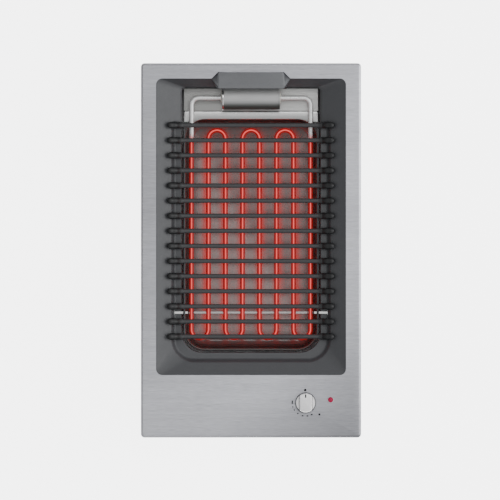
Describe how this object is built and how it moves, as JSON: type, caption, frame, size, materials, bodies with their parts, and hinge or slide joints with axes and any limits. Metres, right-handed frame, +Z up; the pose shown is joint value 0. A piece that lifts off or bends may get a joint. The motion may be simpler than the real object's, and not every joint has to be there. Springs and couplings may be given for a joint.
{
  "type": "built-in electric barbecue grill",
  "caption": "Drop-in worktop grill: steel plate, dished rod grate over a tilting serpentine heater, lift-out drip pan, one rotary control.",
  "frame": {"origin": "middle of the underside of the casing, below the middle of the worktop plate", "axes": "+X to the right of somebody standing at the knob, +Y towards the back, +Z up"},
  "size_m": [0.3, 0.51, 0.1211],
  "materials": {
    "brushed steel": "fine straight brushing",
    "polished steel": "bright drawn sheet",
    "satin steel": "satin",
    "dark enamel": "smooth satin enamel",
    "grate enamel": "satin enamel",
    "zinc sheet": "zinc-coated sheet steel",
    "aluminised sheet": "aluminised sheet steel",
    "heater sheath": "oxidised alloy tube, glowing red between its cold ends",
    "spring steel": "blued strip",
    "zinc fasteners": "zinc plated",
    "satin metal": "satin die casting",
    "ceramic": "unglazed steatite",
    "dark phenolic": "moulded",
    "white nylon": "moulded",
    "black nylon": "moulded",
    "grey foam": "closed-cell strip",
    "black rubber": "moulded",
    "red lens": "clear moulded",
    "silicone sleeve": "heat-proof sleeve"
  },
  "bodies": {
    "unit": {"worktop_plate": "brushed steel", "housing_cap_left": "polished steel", "rear_shelf": "satin steel", "housing_saddle": "satin steel", "terminal_housing": "satin steel", "housing_cap_right": "satin steel", "well_surround": "dark enamel", "well_hood": "dark enamel", "outer_casing": "zinc sheet", "bay_rail_left": "zinc sheet", "bay_rail_right": "zinc sheet", "heat_shield": "zinc sheet", "regulator_bracket": "zinc sheet", "pan_bay": "aluminised sheet", "worktop_clip_1": "spring steel", "worktop_clip_2": "spring steel", "worktop_clip_3": "spring steel", "worktop_clip_4": "spring steel", "regulator_nut": "zinc fasteners", "surround_nut_1": "zinc fasteners", "surround_nut_2": "zinc fasteners", "surround_nut_3": "zinc fasteners", "surround_nut_4": "zinc fasteners", "casing_screw_1": "zinc fasteners", "casing_screw_2": "zinc fasteners", "casing_screw_3": "zinc fasteners", "casing_screw_4": "zinc fasteners", "clip_screw_1": "zinc fasteners", "clip_screw_2": "zinc fasteners", "clip_screw_3": "zinc fasteners", "clip_screw_4": "zinc fasteners", "pivot_bush_left": "ceramic", "pivot_bush_right": "ceramic", "energy_regulator": "dark phenolic", "thermal_cutout": "dark phenolic", "mains_terminal_block": "white nylon", "pilot_lamp_holder": "black nylon", "cable_inlet": "black nylon", "inlet_nut": "black nylon", "rim_seal": "grey foam", "knob_seal": "black rubber", "pilot_lamp_lens": "red lens", "heater_lead": "silicone sleeve", "regulator_lead": "silicone sleeve"},
    "grate": {"cooking_grate": "grate enamel"},
    "heater": {"heating_element": "heater sheath", "heater_support_bar": "polished steel", "terminal_pin_left": "zinc fasteners", "terminal_pin_right": "zinc fasteners", "terminal_insulator_left": "ceramic", "terminal_insulator_right": "ceramic"},
    "pan": {"drip_pan": "polished steel"},
    "knob": {"control_knob": "satin metal", "knob_shaft": "zinc fasteners"}
  },
  "joints": [
    {"name": "grate_lift", "type": "slide", "parent": "unit", "child": "grate", "axis": [0, 0, 1], "range_m": [0, 0.545]},
    {"name": "heater_tilt", "type": "hinge", "parent": "unit", "child": "heater", "pos_m": [0, 0.2082, 0.0731], "axis": [-1, 0, 0], "range_deg": [0, 90]},
    {"name": "pan_lift", "type": "slide", "parent": "unit", "child": "pan", "axis": [0, 0, 1], "range_m": [0, 0.0596]},
    {"name": "knob_turn", "type": "hinge", "parent": "unit", "child": "knob", "pos_m": [0.0743, -0.2074, 0.1011], "axis": [0, 0, 1], "range_deg": [0, 230]}
  ],
  "couplings": [
    {"joint": "heater_tilt", "follows": "grate_lift", "rad_per_m": 2.88},
    {"joint": "pan_lift", "follows": "grate_lift", "ratio": 0.109}
  ]
}
